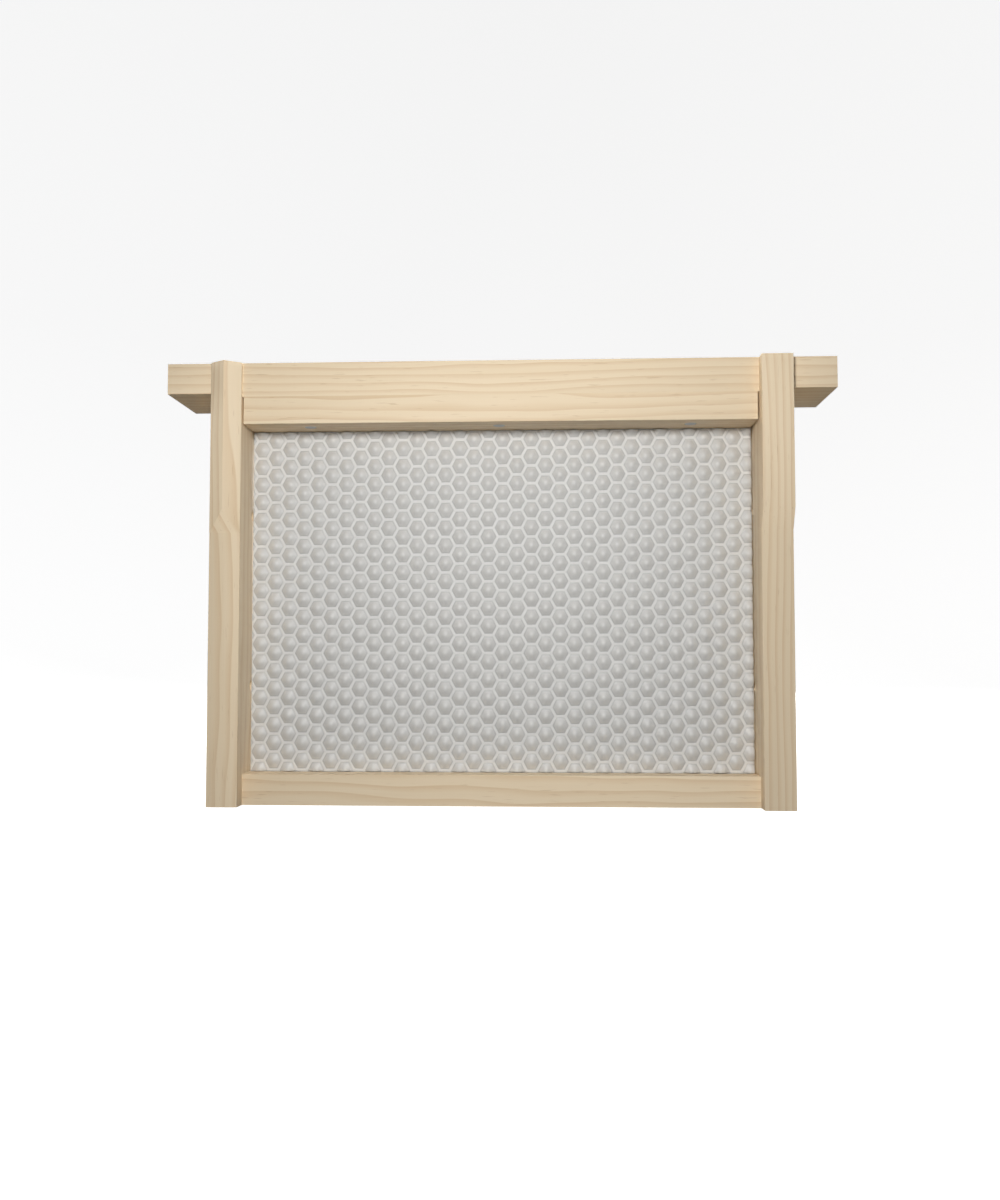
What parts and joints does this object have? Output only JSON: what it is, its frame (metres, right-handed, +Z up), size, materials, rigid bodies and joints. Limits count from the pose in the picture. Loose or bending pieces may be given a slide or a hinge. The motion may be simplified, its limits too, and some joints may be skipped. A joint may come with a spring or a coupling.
{
  "type": "hive frame with comb foundation",
  "caption": "Small wooden beehive frame with hanging lugs, holding a sheet of pale embossed comb foundation for bees to build on.",
  "frame": {"origin": "on the ground under the middle of the frame, midway between the end bars and on the foundation's middle plane", "axes": "+X along the top bar towards the right end bar, +Y through the foundation towards the back, +Z up"},
  "size_m": [0.2056, 0.035, 0.1365],
  "materials": {
    "comb_plastic": "off-white moulded plastic, satin, with softly domed cell floors between narrow hexagonal lands",
    "bar_pine": "planed pale pine, unfinished, straight grain",
    "end_pine": "planed pale pine, unfinished, grain running up the bar",
    "nail_steel": "bright zinc-coated wire nails"
  },
  "bodies": {
    "root": {"top_bar": "bar_pine", "wedge_strip": "bar_pine", "left_end_bar": "end_pine", "right_end_bar": "end_pine", "front_bottom_slat": "bar_pine", "rear_bottom_slat": "bar_pine", "foundation_sheet": "comb_plastic", "top_nail_left_front": "nail_steel", "top_nail_left_rear": "nail_steel", "side_nail_left": "nail_steel", "bottom_nail_left_front": "nail_steel", "bottom_nail_left_rear": "nail_steel", "top_nail_right_front": "nail_steel", "top_nail_right_rear": "nail_steel", "side_nail_right": "nail_steel", "bottom_nail_right_front": "nail_steel", "bottom_nail_right_rear": "nail_steel", "wedge_nail_left": "nail_steel", "wedge_nail_middle": "nail_steel", "wedge_nail_right": "nail_steel"}
  },
  "joints": []
}
